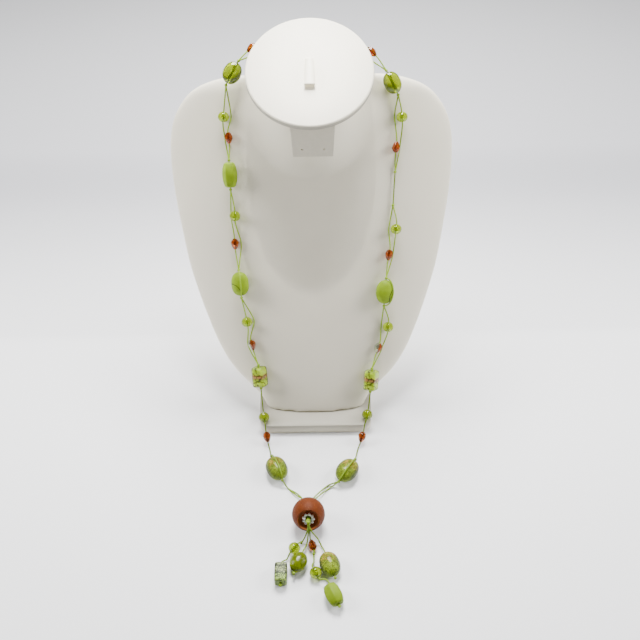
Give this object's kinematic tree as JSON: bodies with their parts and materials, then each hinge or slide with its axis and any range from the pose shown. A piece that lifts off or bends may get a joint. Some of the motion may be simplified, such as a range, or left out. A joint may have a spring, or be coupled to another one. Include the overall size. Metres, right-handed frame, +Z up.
{
  "type": "beaded necklace on a neck bust",
  "caption": "Long two-strand necklace of green glass, amber and lime stone beads with a capped pendant bead and tassel, laid on a plain white neck bust with a foot board.",
  "frame": {"origin": "centre of the foot board's underside, on the surface that everything stands on", "axes": "+Z up, -Y towards the front of the bust and the tassel, +X to the right as seen from the front"},
  "size_m": [0.2118, 0.3174, 0.2459],
  "materials": {
    "leatherette": "white leatherette with a fine grain, satin",
    "waxed_cord": "lime green waxed cord",
    "green_glass": "clear yellow-green glass, polished",
    "amber_glass": "amber glass with flat facets, polished",
    "foil_glass": "green glass with a gold foil band, polished",
    "banded_glass": "clear glass with lime and brown bands, polished",
    "lime_stone": "dyed lime stone, satin polish",
    "red_stone": "red-brown stone, satin polish",
    "silver": "silver plated, slightly worn"
  },
  "bodies": {
    "root": {"foot_board": "leatherette", "ring_pad": "leatherette", "chest_form": "leatherette", "back_stand": "leatherette", "ring_tongue": "leatherette", "earring_tab": "leatherette", "large_bead": "red_stone", "bead_cap": "silver", "left_amber_1": "amber_glass", "left_green_oval_1": "green_glass", "left_small_1": "green_glass", "left_amber_2": "amber_glass", "left_barrel_1": "lime_stone", "left_small_2": "green_glass", "left_amber_3": "amber_glass", "left_stone_oval_1": "lime_stone", "left_small_3": "green_glass", "left_amber_4": "amber_glass", "left_cuboid_1": "banded_glass", "left_small_4": "green_glass", "left_amber_5": "amber_glass", "left_foil_oval_1": "foil_glass", "left_thread": "waxed_cord", "right_amber_1": "amber_glass", "right_green_oval_1": "green_glass", "right_small_1": "green_glass", "right_amber_2": "amber_glass", "right_small_2": "green_glass", "right_amber_3": "amber_glass", "right_stone_oval_1": "lime_stone", "right_small_3": "green_glass", "right_amber_4": "amber_glass", "right_cuboid_1": "banded_glass", "right_small_4": "green_glass", "right_amber_5": "amber_glass", "right_foil_oval_1": "foil_glass", "right_thread": "waxed_cord", "tassel_small_1": "green_glass", "tassel_cuboid_1": "banded_glass", "tassel_green_oval_1": "green_glass", "tassel_amber_1": "amber_glass", "tassel_small_2": "green_glass", "tassel_barrel_1": "lime_stone", "tassel_foil_oval_1": "foil_glass", "tassel_threads": "waxed_cord"}
  },
  "joints": []
}
